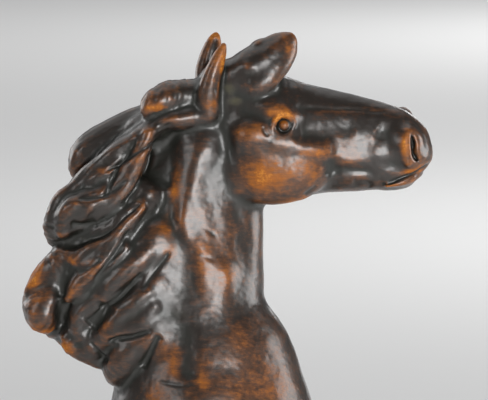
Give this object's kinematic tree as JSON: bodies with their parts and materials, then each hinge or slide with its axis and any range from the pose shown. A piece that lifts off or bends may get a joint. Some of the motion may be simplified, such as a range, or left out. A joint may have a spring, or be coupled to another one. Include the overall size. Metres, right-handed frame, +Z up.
{
  "type": "horse statuette",
  "caption": "Rearing bronze horse statuette with a swept mane, hollow castings joined on tenons, on a bronze ground and a stone plinth.",
  "frame": {"origin": "centre of the underside, on the face that rests on a surface", "axes": "+Z up; +X the way the horse faces; -Y the horse's right side"},
  "size_m": [0.269, 0.132, 0.5254],
  "materials": {
    "bronze": "brown wax patina, rubbed to amber on high places",
    "bronze_mane": "dark brown wax patina with amber rubbed edges",
    "bronze_ground": "dark brown patina, rough cast",
    "raw_bronze": "turned bronze, unpatinated",
    "steel": "plain zinc-plated fixings",
    "plinth_stone": "polished black stone",
    "felt": "green baize, glued"
  },
  "bodies": {
    "root": {"head_casting": "bronze", "neck_casting": "bronze", "mane_casting": "bronze_mane", "trunk_casting": "bronze", "foreleg_left": "bronze", "foreleg_right": "bronze", "hind_leg_left": "bronze", "hind_leg_right": "bronze", "tail_casting": "bronze_mane", "ground_casting": "bronze_ground", "plinth": "plinth_stone", "head_joint_sleeve": "raw_bronze", "neck_joint_sleeve": "raw_bronze", "foreleg_tenons": "raw_bronze", "hind_leg_tenons": "raw_bronze", "tail_tenon": "raw_bronze", "mane_pins": "raw_bronze", "core_plugs": "raw_bronze", "hoof_studs": "steel", "tail_stud": "steel", "ground_washers": "steel", "ground_nuts": "steel", "plinth_bolts": "steel", "plinth_washers": "steel", "felt_base": "felt"}
  },
  "joints": []
}
